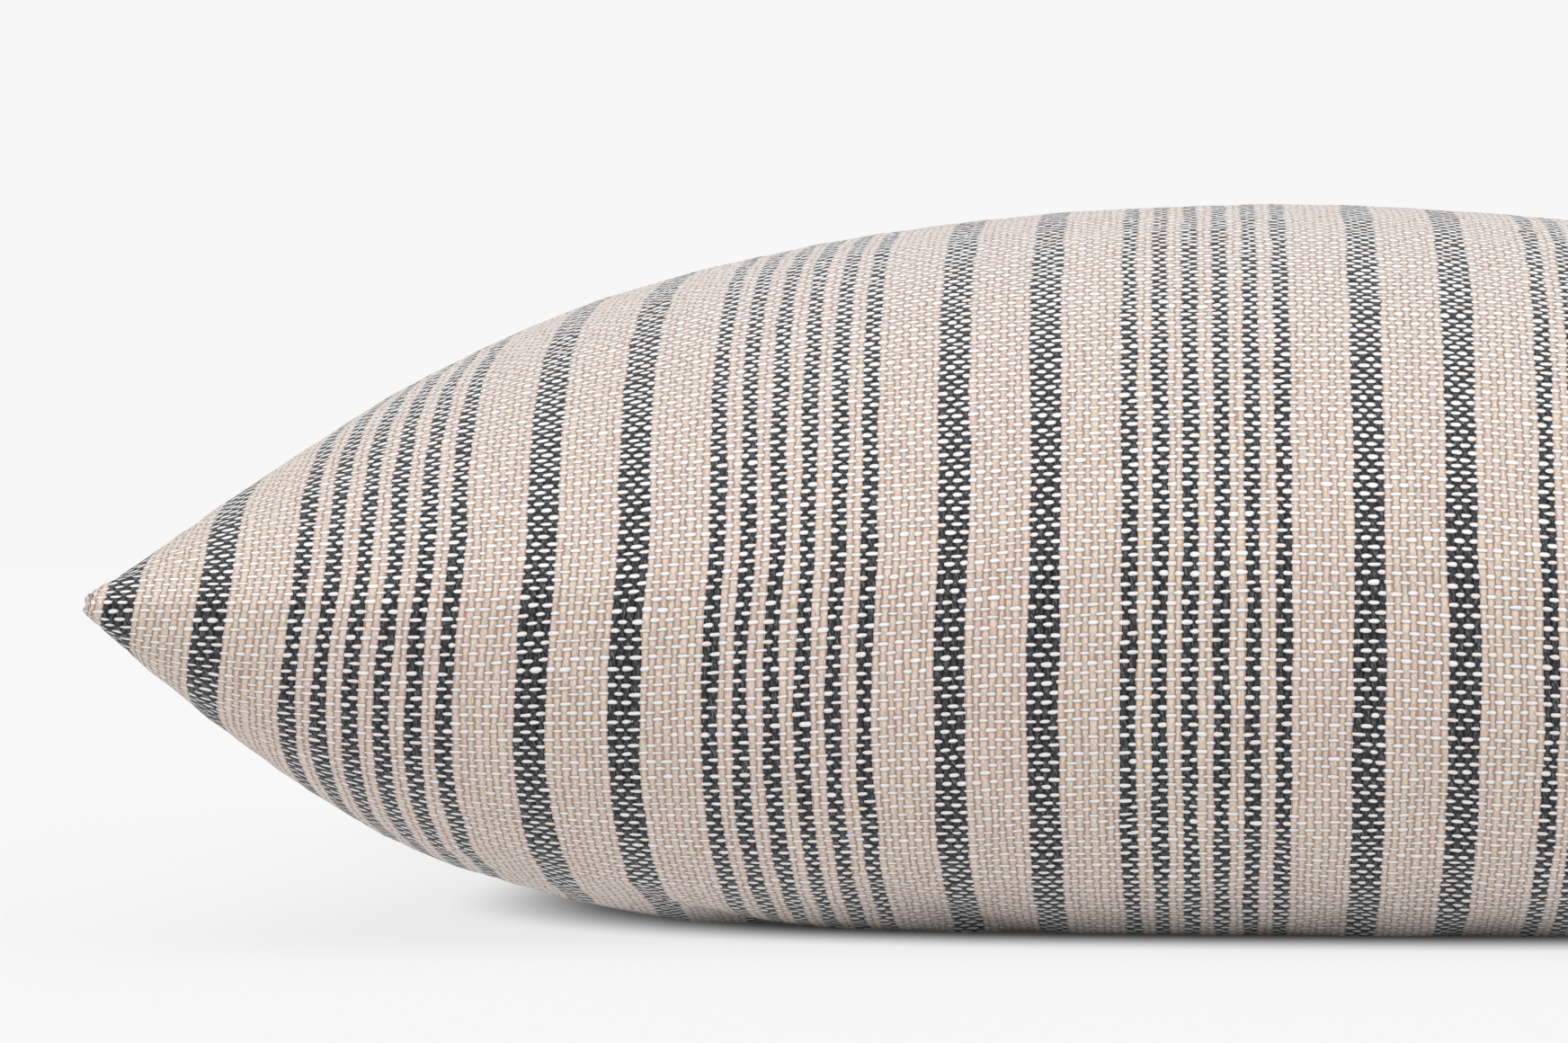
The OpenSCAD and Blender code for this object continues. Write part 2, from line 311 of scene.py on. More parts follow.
def striped_cloth(look):
    """Plain weave of thick mixed warp yarns under a thinner off-white weft."""
    s = Shader("striped_cloth")
    u, v = s.cloth_place()
    # yarns wander and change thickness along their length
    u = u + (s.noise(s.vector(u * 0.6, v * 0.08), detail=4, rough=0.6) - 0.5) * 1.3
    v = v + (s.noise(s.vector(u * 0.07, v * 0.4, 7), detail=3) - 0.5) * 0.9
    uneven = s.noise(s.vector(u * 0.8, v * 0.8, 3), detail=1)
    # away from the fold the cloth is slacker: the weft stands out more and bows a little. The dashes' step
    # in size at the fold is in part painted light: larger above it, where their tops are lit, smaller below,
    # where their undersides are in shade
    slack = s.ease(v, 0.0, 75.0) * (1 - s.ease(v, 140.0, 210.0) * 0.6)
    under = s.ease(v, -12.0, -70.0)
    # painted light in part: the dashes grow at the fold, lit tops above it and shaded undersides below
    thick = 0.25 + s.ease(v, -6.0, 14.0) * 0.07 + slack * 0.16 + under * 0.12
    thick = thick + (uneven - 0.5) * 0.14
    bow = slack * 0.13 - under * 0.18

    def dash(end):
        """The weft's dash over one warp yarn: 0 at its middle and 1 at its rim, and two measures."""
        along = (v + end) * 0.5
        pick = s.math("FLOOR", along + 0.5)
        chance, spread = s.dice(s.vector(end, pick)), s.dice(s.vector(end, pick, 5))
        x = u - end - 0.5 + (chance - 0.5) * 0.18
        long = 0.66 + spread * 0.12
        y = (along - pick) * 2 + (spread - 0.5) * 0.16 - bow * (0.7 - (x / long) ** 2)
        return (abs(x) / long) ** 2.6 + (abs(y) / thick) ** 2, abs(y), chance

    end = s.math("FLOOR", u)
    across = u - end - 0.5
    own, away, chance = dash(end)
    other, _, _ = dash(end + s.math("SIGN", across))
    reach = s.least(own, other)
    rim = s.ease(reach, 1.2, 0.7)
    round_top = s.math("SQRT", s.most(1 - reach * 0.9, 0.0))
    # the warp swells between two dashes and narrows under them
    fibre_slow = s.noise(s.vector(u * 2.3, v * 0.9, 23), detail=2)
    width = 0.37 + s.ease(away, 0.2, 0.8) * 0.08 + (fibre_slow - 0.5) * 0.22
    dome = s.math("SQRT", s.most(1 - (abs(across) / width) ** 2, 0.0))
    fibre = s.noise(s.vector(u * 4.6 + v * 1.2, v * 1.3, 1), detail=4, rough=0.7)
    cross_fibre = s.noise(s.vector(u * 1.8, v * 9, 5), detail=3)
    fuzz = s.noise(s.vector(u * 4.5, v * 4.5, 11), detail=4, rough=0.72)
    warp_height = dome * (0.3 + 0.4 * s.ease(away, 0.15, 1.0)) + (fibre - 0.5) * 0.22
    dash_height = 0.5 + round_top * 0.6 + (cross_fibre - 0.5) * 0.12
    height = s.most(warp_height, dash_height * rim) + (fuzz - 0.5) * 0.1
    # the warp, with painted shade at its rims, in the gaps between yarns and beside a dash
    black = s.mix(s.ease(fibre, 0.46, 0.7) * 0.6, look.black, (0.36, 0.38, 0.40))
    black = s.mix(s.ease(fuzz, 0.58, 0.72) * 0.25, black, (0.5, 0.5, 0.5))
    dark = black_warp(s, end)
    warp = s.mix(dark, tan_yarn(s, look, u, v, end, fibre), black)
    # painted shade: the colour of the shade between yarns, tan or black
    hollow_shade = s.mix(dark, look.gap, (0.010, 0.010, 0.011))
    warp = s.mix(s.ease(dome, 0.05, 0.7), hollow_shade, warp)
    # painted shadow beside each dash
    warp = s.mix(s.ease(reach, 2.6, 1.1) * 0.4, warp, hollow_shade)
    # the weft: nearly white, greyer at its rims, a little tinted by what lies under it
    weft = s.mix(s.ease(cross_fibre, 0.55, 0.25) * 0.5, look.weft, (0.66, 0.61, 0.60))
    weft = s.mix(s.ease(chance, 0.6, 1.0) * 0.4, weft, (0.80, 0.68, 0.60))
    weft = s.mix(s.ease(round_top, 0.65, 0.2) * 0.5, weft, warp)
    colour = s.mix(rim, warp, weft)
    return s.finish(
        Base_Color=colour, Roughness=0.92, Specular_IOR_Level=0.18, Sheen_Weight=0.32,
        Sheen_Roughness=0.3, Normal=s.bump(height, 1.1 * MM))


def twisted_thread(name, colour, turns=1.6):
    """Two plies twisted round each other."""
    s = Shader(name)
    x, y, z = s.object_place()
    twist = s.math("SINE", (x + y) * (turns * 2 * math.pi) + z * 4)
    ply = s.ease(twist, -0.9, 0.3)
    lint = s.noise(s.vector(x * 3, y * 3, z * 3), detail=3)
    # painted shade: the thread is darker in the grooves between the plies
    tint = s.mix(ply, [c * 0.62 for c in colour], colour)
    tint = s.mix(lint * 0.25, tint, (0.9, 0.88, 0.85))
    return s.finish(
        Base_Color=tint, Roughness=0.8, Sheen_Weight=0.15, Normal=s.bump(ply + lint * 0.3, 0.1 * MM))


def herringbone_tape():
    """Woven tape: fine twill that changes direction every few millimetres."""
    s = Shader("zip_tape")
    x, y, z = s.object_place()
    bend = s.math("PINGPONG", z, 1.5)
    ribs = s.math("SINE", (x + bend * 1.2) * (2 * math.pi / 0.55))
    yarn = s.math("SINE", z * (2 * math.pi / 0.32))
    lint = s.noise(s.vector(x, y, z), scale=2.5, detail=3)
    # painted shade: darker in the hollows between the twill's ribs
    tint = s.mix(s.ease(ribs, -0.6, 0.7), (0.20, 0.165, 0.13), (0.33, 0.28, 0.23))
    tint = s.mix(lint * 0.3, tint, (0.42, 0.37, 0.31))
    return s.finish(
        Base_Color=tint, Roughness=0.85, Sheen_Weight=0.1,
        Normal=s.bump(ribs * 0.35 + yarn * 0.2 + lint * 0.3, 0.12 * MM))


def coil_plastic():
    """Drawn polyester of the coil, a little glossy."""
    s = Shader("zip_coil")
    x, y, z = s.object_place()
    streak = s.noise(s.vector(x * 0.4, y * 3, z * 3), detail=2)
    tint = s.mix(streak, (0.27, 0.235, 0.19), (0.36, 0.32, 0.27))
    return s.finish(
        Base_Color=tint, Roughness=0.32 + streak * 0.15, Coat_Weight=0.15,
        Normal=s.bump(streak, 0.03 * MM))


def nickel():
    """Nickel-plated zinc with fine scratches and slightly worn, brighter high spots."""
    s = Shader("zip_nickel")
    x, y, z = s.object_place()
    scratch = s.noise(s.vector(x * 1.2, y * 9, z * 14), detail=4, rough=0.7)
    cloud = s.noise(s.vector(x, y, z), scale=0.35, detail=3)
    tint = s.mix(cloud, (0.56, 0.55, 0.53), (0.70, 0.69, 0.67))
    return s.finish(
        Base_Color=tint, Metallic=1.0, Roughness=0.22 + scratch * 0.2 + cloud * 0.08,
        Normal=s.bump(scratch, 0.015 * MM))


def satin(name, colour):
    """Blank woven satin: long floats with a soft shine."""
    s = Shader(name)
    x, y, z = s.object_place()
    floats = s.math("SINE", y * (2 * math.pi / 0.22))
    slip = s.noise(s.vector(x * 2, y * 8, z * 2), detail=2)
    # painted shade: darker in the hollows between the floats
    tint = s.mix(s.ease(floats, -0.8, 0.6), [c * 0.82 for c in colour], colour)
    return s.finish(
        Base_Color=tint, Roughness=0.42 + slip * 0.15, Sheen_Weight=0.1,
        Normal=s.bump(floats * 0.4 + slip * 0.4, 0.05 * MM))


def plain_cotton(name, colour):
    """Fine plain-woven cotton with faint slubs and creases."""
    s = Shader(name)
    x, y, z = s.object_place()
    over = s.math("SINE", x * (2 * math.pi / 0.7))
    under = s.math("SINE", y * (2 * math.pi / 0.7))
    slub = s.noise(s.vector(x * 0.08, y * 1.1, z * 0.2), detail=3)
    crease = s.noise(s.vector(x, y, z), scale=0.03, detail=4)
    # painted shade: darker where the weave's relief is low
    tint = s.mix(s.ease(over * under, -0.7, 0.7), [c * 0.86 for c in colour], colour)
    tint = s.mix(s.ease(slub, 0.6, 0.75) * 0.5, tint, (0.95, 0.94, 0.9))
    return s.finish(
        Base_Color=tint, Roughness=0.88, Sheen_Weight=0.1,
        Normal=s.bump(over * under * 0.25 + slub * 0.3 + crease * 2.5, 0.14 * MM))


def fibre_filling():
    """Crimped polyester fibre in soft tangled clumps."""
    s = Shader("polyester_fill")
    x, y, z = s.object_place()
    clump = s.noise(s.vector(x, y, z), scale=0.05, detail=5, rough=0.6)
    hair = s.noise(s.vector(x * 0.7, y * 0.7, z * 0.7), scale=1.5, detail=6, rough=0.75)
    # painted shade: darker in the hollows between the clumps
    tint = s.mix(s.ease(clump, 0.3, 0.7), (0.82, 0.81, 0.79), (0.94, 0.935, 0.92))
    return s.finish(
        Base_Color=tint, Roughness=0.95, Sheen_Weight=0.3,
        Normal=s.bump(clump * 2 + hair * 0.6, 1.2 * MM))


def studio_floor(form):
    """Pale floor that glows a little, except under the pillow, where its light fades out into a painted
    contact shadow, so that only the contact is dark.
    """
    s = Shader("studio_floor")
    x, y, z = s.object_place()
    bottom = (HALF - form.side_pull) * 0.7 / MM
    out = (abs(x / bottom) ** 3 + abs(y / bottom) ** 3) ** (1 / 3)
    # painted contact shadow: the floor's own light fades out near the pillow's contact
    clear = s.ease(out, 1.0, 1.30)
    cloud = s.noise(s.vector(x, y, z), scale=0.004, detail=2)
    tint = s.mix(cloud, (0.155, 0.155, 0.155), (0.165, 0.165, 0.165))
    glow_with_painted_shadow = s.mix(clear, (0.05, 0.05, 0.05), (1.0, 1.0, 1.0))
    return s.finish(
        Base_Color=tint, Roughness=0.8, Specular_IOR_Level=0.0, Emission_Color=glow_with_painted_shadow,
        Emission_Strength=0.75)


# ---------------------------------------------------------------- meshes


def new_piece(name, points, faces, material, smooth=True):
    """An object in the scene, made of the given points and faces."""
    mesh = bpy.data.meshes.new(name)
    points = np.asarray(points, float).reshape(-1, 3)
    mesh.from_pydata(points.tolist(), [], [[int(k) for k in face] for face in faces])
    mesh.polygons.foreach_set("use_smooth", [smooth] * len(mesh.polygons))
    mesh.materials.append(material)
    mesh.update()
    piece = bpy.data.objects.new(name, mesh)
    bpy.context.scene.collection.objects.link(piece)
    return piece


def settle_in(piece, node):
    """Puts a finished piece on the pillow itself, in place of its CAD node."""
    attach(piece, "root")
    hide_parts(node)
    return piece


def grid_faces(rows, cols, flip=False):
    """The four-sided faces between the points of a grid."""
    i, j = np.meshgrid(np.arange(cols - 1), np.arange(rows - 1))
    a = (j * cols + i).ravel()
    quads = np.stack([a, a + 1, a + cols + 1, a + cols], 1)
    return quads[:, ::-1] if flip else quads


def joined(parts):
    """One list of points and one of faces from several (points, faces) pairs."""
    points, faces, base = [], [], 0
    for p, f in parts:
        points.append(np.asarray(p, float).reshape(-1, 3))
        faces += [[k + base for k in face] for face in f]
        base += len(points[-1])
    return np.concatenate(points), faces


def apply_modifier(piece, kind, **settings):
    """Adds a modifier and makes its result the piece's own mesh."""
    bpy.context.view_layer.objects.active = piece
    modifier = piece.modifiers.new(kind.lower(), kind)
    for key, value in settings.items():
        setattr(modifier, key, value)
    with bpy.context.temp_override(object=piece, active_object=piece, selected_objects=[piece]):
        bpy.ops.object.modifier_apply(modifier=modifier.name)


def directions(path):
    """The way that a path runs at each of its points."""
    ways = np.gradient(np.asarray(path, float), axis=0)
    return ways / np.linalg.norm(ways, axis=1, keepdims=True)


def tube(path, radius, sides=6):
    """A round tube along a path, with closed ends."""
    path = np.asarray(path, float)
    ahead = directions(path)
    across = np.zeros_like(path)
    guess = np.array([0.3, 0.2, 1.0])
    for k, way in enumerate(ahead):
        guess = guess - way * guess.dot(way)
        guess /= np.linalg.norm(guess)
        across[k] = guess
    up = np.cross(ahead, across)
    turn = np.linspace(0, 2 * math.pi, sides, endpoint=False)
    ring = across[:, None] * np.cos(turn)[None, :, None] + up[:, None] * np.sin(turn)[None, :, None]
    points = (path[:, None] + radius * ring).reshape(-1, 3)
    j, i = np.meshgrid(np.arange(len(path) - 1), np.arange(sides), indexing="ij")
    a = (j * sides + i).ravel()
    b = (j * sides + (i + 1) % sides).ravel()
    faces = np.stack([a, b, b + sides, a + sides], 1).tolist()
    last = (len(path) - 1) * sides
    return points, faces + [list(range(sides))[::-1], [last + k for k in range(sides)]]


def stitches(centres, ways, outward, length, radius):
    """A row of short rounded stitches, one at each centre, bowed a little outward."""
    steps = np.linspace(-1, 1, 7)
    parts = []
    for centre, way, normal in zip(centres, ways, np.broadcast_to(outward, centres.shape)):
        bow = (1 - steps[:, None] ** 2) * radius * 0.9
        path = centre + way * steps[:, None] * length / 2 + normal * bow
        points, faces = tube(path, radius, 6)
        ends = np.repeat(np.sqrt(np.clip(1 - steps ** 6 * 0.75, 0, 1)), 6)[:, None]
        middle = np.repeat(path, 6, axis=0)
        parts.append((middle + (points - middle) * ends, faces))
    return joined(parts)


def rounded_metal(node, radius, limit):
    """A CAD node of the zip that stays as it is, plated and with its edges softened."""
    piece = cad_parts[node]
    bevel = piece.modifiers.new("rounded", "BEVEL")
    bevel.width = radius
    bevel.segments = 3
    bevel.angle_limit = math.radians(limit)
    piece.data.materials.clear()
    piece.data.materials.append(bpy.data.materials.get("zip_nickel") or nickel())


# ---------------------------------------------------------------- the pillow's surface


def smooth_sample(grid, s, t, bent=True):
    """Values of a square grid over -1 to 1 at any s (across) and t (along), by smooth curves.

    A bent grid is finer towards its edges, as a cosine is.
    """
    count = grid.shape[0] - 1
    for _ in range(2):
        grid = np.concatenate([2 * grid[:1] - grid[1:2], grid, 2 * grid[-1:] - grid[-2:-1]])
        grid = grid.swapaxes(0, 1)

    def weights(x):
        share = np.arccos(np.clip(-x, -1, 1)) / math.pi if bent else (x + 1) / 2
        place = np.clip(share * count, 0, count - 1e-9)
        cell = np.floor(place).astype(int)
        f = place - cell
        w = np.stack([
            -0.5 * f + f ** 2 - 0.5 * f ** 3,
            1 - 2.5 * f ** 2 + 1.5 * f ** 3,
            0.5 * f + 2 * f ** 2 - 1.5 * f ** 3,
            -0.5 * f ** 2 + 0.5 * f ** 3])
        index = cell[None] + np.arange(4).reshape(4, *[1] * cell.ndim)
        return w, index

    ws, ks = weights(np.asarray(s, float))
    wt, kt = weights(np.asarray(t, float))
    total = 0
    for a in range(4):
        for b in range(4):
            w = wt[a] * ws[b]
            total = total + grid[kt[a], ks[b]] * w.reshape(w.shape + (1,) * (grid.ndim - 2))
    return total


def ripple(x, lengths, seed):
    """A sum of waves of the given lengths with fixed random phases, about -1 to 1."""
    rng = np.random.default_rng(seed)
    total = 0
    for length in lengths:
        total = total + np.sin(2 * math.pi * x / length + rng.uniform(0, 2 * math.pi))
    return total / len(lengths)


def smooth_step(x, low, high):
    """0 below low, 1 above high, and smooth between them."""
    f = np.clip((x - low) / (high - low), 0, 1)
    return f * f * (3 - 2 * f)


class Surface:
    """The cover's outer surface. s runs across the cloth and t from front fold to back, -1 to 1."""

    def __init__(self, form, cloth, size=1.0, crown_less=0.0, floor=0.0):
        self.form = form
        self.flat = cloth.flat_size
        self.size = size
        self.floor = floor
        self.crown = COVER_HIGH.z - form.corner_z - form.edge_rise - crown_less
        self.settled = {}
        self.places = {top: self.even_places(top) for top in (True, False)}

    def draft(self, top, u, v):
        """The drafted shape of one leaf, over u across and v along."""
        form = self.form
        back = v > 0
        x = u * (HALF - form.side_pull * (1 - v * v))
        pull = np.where(back, form.back_pull, form.side_pull)
        y = v * (HALF - pull * (1 - np.abs(u) ** np.where(back, 6, 2)))
        level = np.where(back, 1 - np.abs(u * v) ** 10, (1 - (u * v) ** 2) ** 4)
        z = form.corner_z + form.edge_rise * level
        if top:
            side = np.clip(1 - u * u, 0, 1) ** 0.4
            z = z + self.crown * side * np.clip(1 - np.abs(v) ** 3.2, 0, 1) ** 0.77
        else:
            run = np.clip((1 - u * u) * (1 - v * v) / form.flat_from, 0, 1)
            z = z - (z - self.floor) * np.sqrt(run * (2 - run))
        return np.stack([x * self.size, y * self.size, z], -1)

    def even_places(self, top, count=160, rounds=4):
        """u and v on an even grid of the cloth, so that it is stretched as little as possible."""
        bent = np.sin(np.linspace(-1, 1, count + 1) * math.pi / 2)
        u, v = np.meshgrid(bent, bent)
        even = (1 - np.cos(np.linspace(0, math.pi, count + 1))) / 2
        for _ in range(rounds):
            for along in (False, True):
                if along:
                    u, v = u.T, v.T
                points = self.draft(top, u, v)
                steps = np.linalg.norm(np.diff(points, axis=1), axis=2)
                run = np.concatenate([np.zeros((count + 1, 1)), np.cumsum(steps, 1)], 1)
                run /= run[:, -1:]
                u = np.array([np.interp(even, run[k], u[k]) for k in range(count + 1)])
                v = np.array([np.interp(even, run[k], v[k]) for k in range(count + 1)])
                if along:
                    u, v = u.T, v.T
        return np.stack([u, v], -1)

    def smooth_point(self, top, s, t):
        """The surface without its seams' small shapes."""
        place = smooth_sample(self.places[top], s, t)
        u, v = np.clip(place[..., 0], -1, 1), np.clip(place[..., 1], -1, 1)
        if not top:
            # below, the cloth is drawn towards the middle of the pillow
            u = u * (1 - self.form.draw_in * smooth_step(1 - np.abs(t), 0, 0.5) * (1 - u ** 4))
        u = np.where(np.abs(s) >= 1, np.sign(s), u)
        v = np.where(np.abs(t) >= 1, np.sign(t), v)
        point = self.draft(top, u, v)
        if top in self.settled:
            point = point + smooth_sample(self.settled[top], s, t, bent=False)
        return point

    def point(self, top, s, t):
        """The surface with its side seams, puckers and the zip's slot."""
        s, t = np.broadcast_arrays(np.asarray(s, float), np.asarray(t, float))
        p = self.smooth_point(top, s, t)
        side = 1 if top else -1
        half_flat = self.flat / 2
        from_side = (1 - np.abs(s)) * half_flat / MM
        from_back = (1 - t) * half_flat / MM
        along = t * half_flat / MM
        across = s * half_flat / MM
        ends = 1 - smooth_step(np.abs(t), 0.93, 1.0)
        # seam grooves and the puckers that a tight seam gives
        dip = 1.9 * np.exp(-from_side / 1.5)
        wave = ripple(along + 2.2 * side, (7.9, 11.7, 17.3), 3) + 0.6 * ripple(along, (26.0, 41.0), 4 + side)
        swell = 1.1 * wave * (from_side / 5) * np.exp(-from_side / 9) * ends
        fold_wave = ripple(across, (31.0, 47.0, 83.0), 9)
        from_front = (1 + t) * half_flat / MM
        swell = swell + 0.35 * fold_wave * np.exp(-((from_front - 12) / 14) ** 2) * (1 - np.abs(s) ** 8)
        out_side = np.sign(s)
        p = p + np.stack([
            -out_side * dip * MM,
            np.zeros_like(dip),
            side * swell * 0.8 * MM], -1)
        p[..., 0] += out_side * swell * 0.5 * MM * np.exp(-from_side / 14)
        # the corners are blunt, because three layers of seam are turned inside them
        from_corner = from_side + np.minimum(from_front, from_back)
        tip = np.exp(-from_corner / 3.5)
        p[..., 0] -= out_side * 1.1 * MM * tip
        p[..., 1] -= np.sign(t) * 1.6 * MM * tip
        p[..., 2] += side * 0.9 * MM * tip * smooth_step(from_corner, 0, 2)
        # the zip's slot, and the sewn ends of the back edge
        slot = 1 - smooth_step(np.abs(p[..., 0]), ZIP_HALF + 5 * MM, ZIP_HALF + 19 * MM)
        dip = 1.6 * np.exp(-from_back / 1.5) * (1 - slot)
        open_up = 4.9 * slot * np.exp(-from_back / 22) + 0.35 * np.exp(-from_back / 3)
        wave = ripple(across + 1.7 * side, (10.3, 16.1, 24.7), 6)
        swell = 0.8 * wave * (from_back / 6) * np.exp(-from_back / 8) * (1 - np.abs(s) ** 12)
        held = np.exp(-((from_back - 6) / 1.6) ** 2) * slot * 0.5
        p[..., 1] -= (dip + held) * MM
        p[..., 2] += side * (open_up + swell + 0.35 * np.exp(-from_side / 2)) * MM
        if not top:
            p[..., 2] = np.maximum(p[..., 2], self.floor)
        return p

    def normal(self, top, s, t, step=1e-3):
        """The way out of the surface."""
        ds = self.point(top, s + step, t) - self.point(top, s - step, t)
        dt = self.point(top, s, np.minimum(t + step, 1)) - self.point(top, s, t - step)
        n = np.cross(ds, dt) * (1 if top else -1)
        return n / np.linalg.norm(n, axis=-1, keepdims=True)

    def seam(self, s, t):
        """The place between the two leaves' edges."""
        return (self.point(True, s, t) + self.point(False, s, t)) / 2

    def across_at(self, x):
        """The places across the cloth at which its back edge is at each x."""
        s = np.linspace(-1, 1, 801)
        return np.interp(x, self.point(True, s, np.ones_like(s))[:, 0], s)


HEAVY_CLOTH = {
    "quality": 6, "mass": 0.0008, "air_damping": 4, "tension_stiffness": 30,
    "compression_stiffness": 18, "shear_stiffness": 6, "bending_stiffness": 0.6,
    "use_pressure": True, "uniform_pressure_force": 1.2}


def settle(surface, cells, frames, cap):
    """Lets the cloth find its own shape over the filling, by simulation, within cap of the draft."""
    even = np.linspace(-1, 1, cells + 1)
    s, t = np.meshgrid(even, even)
    count = (cells + 1) ** 2
    upper = np.arange(count).reshape(cells + 1, cells + 1)
    lower = upper.copy()
    inner = (cells - 1) ** 2
    lower[1:-1, 1:-1] = count + np.arange(inner).reshape(cells - 1, cells - 1)
    start = np.zeros((count + inner, 3))
    flat = np.zeros((count + inner, 3))
    half = surface.flat / 2
    for index, top in ((lower, False), (upper, True)):
        start[index] = surface.smooth_point(top, s, t)
        flat[index] = np.stack([s * half, t * half, 0 * s], -1)
    faces = np.concatenate([
        upper.ravel()[grid_faces(cells + 1, cells + 1)],
        lower.ravel()[grid_faces(cells + 1, cells + 1, flip=True)]])
    mesh = bpy.data.meshes.new("settling")
    mesh.from_pydata(start.tolist(), [], faces.tolist())
    piece = bpy.data.objects.new("settling", mesh)
    bpy.context.scene.collection.objects.link(piece)
    piece.shape_key_add(name="Basis")
    cut = piece.shape_key_add(name="cut")
    cut.data.foreach_set("co", flat.astype(np.float32).ravel())
    cut.value = 0
    pins = piece.vertex_groups.new(name="pins")
    border = np.unique(np.concatenate([upper[0], upper[-1], upper[:, 0], upper[:, -1]]))
    pins.add(border.tolist(), 1.0, "REPLACE")
    cloth = piece.modifiers.new("cloth", "CLOTH")
    cloth.settings.rest_shape_key = cut
    cloth.settings.vertex_group_mass = "pins"
    for setting, value in HEAVY_CLOTH.items():
        setattr(cloth.settings, setting, value)
    cloth.settings.effector_weights.gravity = 0
    cloth.collision_settings.use_collision = False
    cloth.point_cache.frame_start = 1
    cloth.point_cache.frame_end = frames
    scene = bpy.context.scene
    scene.frame_start = 1
    scene.frame_end = frames
    for number in range(1, frames + 1):
        scene.frame_set(number)
    shaped = piece.evaluated_get(bpy.context.evaluated_depsgraph_get())
    co = np.zeros(len(shaped.data.vertices) * 3)
    shaped.data.vertices.foreach_get("co", co)
    moved = co.reshape(-1, 3) - start
    size = np.linalg.norm(moved, axis=1, keepdims=True)
    moved = moved / np.maximum(size, 1e-9) * cap * np.tanh(size / cap)
    bpy.data.objects.remove(piece)
    scene.frame_set(1)
    for index, top in ((lower, False), (upper, True)):
        surface.settled[top] = moved[index]


shared = {}


def cover_surface():
    """The cover's surface, worked out once and used by every piece that lies on it."""
    if "cover" not in shared:
        scene = bpy.context.scene
        surface = Surface(scene.pillow_form, scene.pillow_cloth)
        settle(surface, cells=72, frames=24, cap=scene.pillow_form.slack)
        shared["cover"] = surface
    return shared["cover"]


def graded(fine_steps, fine, count):
    """Places from -1 to 1: a few close to each end at the given distances, the rest even."""
    near = np.cumsum([fine * f for f in fine_steps])
    middle = np.linspace(-1 + near[-1], 1 - near[-1], count)
    return np.concatenate([[-1], -1 + near[:-1], middle, 1 - near[:-1][::-1], [1]])


# ---------------------------------------------------------------- pieces


class PILLOW_OT_cover(bpy.types.Operator):
    """Makes the folded striped cover with its seam allowances and the zip's slot"""

    bl_idname = "pillow.cover"
    bl_label = "Cover"

    def execute(self, context):
        cloth = context.scene.pillow_cloth
        surface = cover_surface()
        half_flat = cloth.flat_size / 2
        step = MM / half_flat
        across = graded((0.5, 0.7, 1.0, 1.3, 2, 3), step, 118)
        along = graded((0.5, 0.7, 1.0, 1.3, 1.5, 1.5, 2, 2.5), step, 118)
        turned = np.array([0.5, 1.4, 3, 7, 11]) * step
        tuck = SIDE_ALLOWANCE / half_flat
        ends = np.concatenate([[-1 - tuck, -1 - tuck / 4], across, [1 + tuck / 4, 1 + tuck]])
        ends = (ends + 1) / 2 * cloth.ends
        picks = (np.concatenate([along, 1 + turned]) + 1) / 2 * cloth.picks
        rows, places = [], []
        for top in (False, True):
            leaf = surface.point(top, across[None, :], along[:, None])
            if top:
                # the upper leaf starts at the fold, where the lower one ends
                leaf[0] = rows[-1][2:-2]
            leaf = self.add_allowances(leaf, along)
            leaf = self.add_back_edge(surface, top, leaf, across, turned)
            order = slice(1, None) if top else slice(None, None, -1)
            rows += list(leaf[order])
            counted = picks if top else -picks
            places += [np.stack([ends, np.full_like(ends, k)], 1) for k in counted[order]]
        rows = np.array(rows)
        piece = new_piece("cover", rows, grid_faces(*rows.shape[:2]), striped_cloth(cloth))
        places = np.concatenate(places)
        yarns = piece.data.uv_layers.new(name="yarns")
        corner = np.zeros(len(piece.data.loops), int)
        piece.data.loops.foreach_get("vertex_index", corner)
        yarns.data.foreach_set("uv", places[corner].ravel())
        apply_modifier(piece, "SOLIDIFY", thickness=cloth.thickness, offset=-1, use_even_offset=False)
        settle_in(piece, "cover_cloth")
        return {"FINISHED"}

    @staticmethod
    def add_allowances(leaf, along):
        """Adds the allowances that run in from each side seam, one layer on the other."""
        left, right = leaf[:, :1], leaf[:, -1:]
        near = 1 - np.abs(along)[:, None, None]
        width = SIDE_ALLOWANCE * (0.06 + 0.94 * smooth_step(near, 0.02, 0.09)) * [1, 0, 0]
        clip = 1.6 * MM * (1 - smooth_step(near, 0, 0.03)) * np.sign(-along)[:, None, None] * [0, 1, 0]
        free_left = left + width + clip
        free_right = right - width + clip
        turn_left = left * 0.75 + free_left * 0.25
        turn_right = right * 0.75 + free_right * 0.25
        return np.concatenate([free_left, turn_left, leaf, turn_right, free_right], 1)

    @staticmethod
    def add_back_edge(surface, top, leaf, across, turned):
        """Folds the back edge under the leaf along the zip, and runs it in flat beyond the zip's ends."""
        lip = leaf[-1]
        slot = 1 - smooth_step(np.abs(lip[:, :1]), ZIP_HALF + 2 * MM, ZIP_HALF + 16 * MM)
        near = smooth_step((HALF - np.abs(lip[:, :1])) / MM, 4, 26)
        drop = np.array([0.4, 1.3, 2.7, 2.7, 2.7]) * MM
        for far, under in zip(turned, drop):
            t = np.full_like(across, 1 - far)
            folded = surface.point(top, across, t) - surface.normal(top, across, t) * under
            folded = np.concatenate([folded[:1], folded[:1], folded, folded[-1:], folded[-1:]])
            run_in = lip - near * far * surface.flat / 2 * [0, 1, 0]
            leaf = np.concatenate([leaf, (slot * folded + (1 - slot) * run_in)[None]])
        return leaf


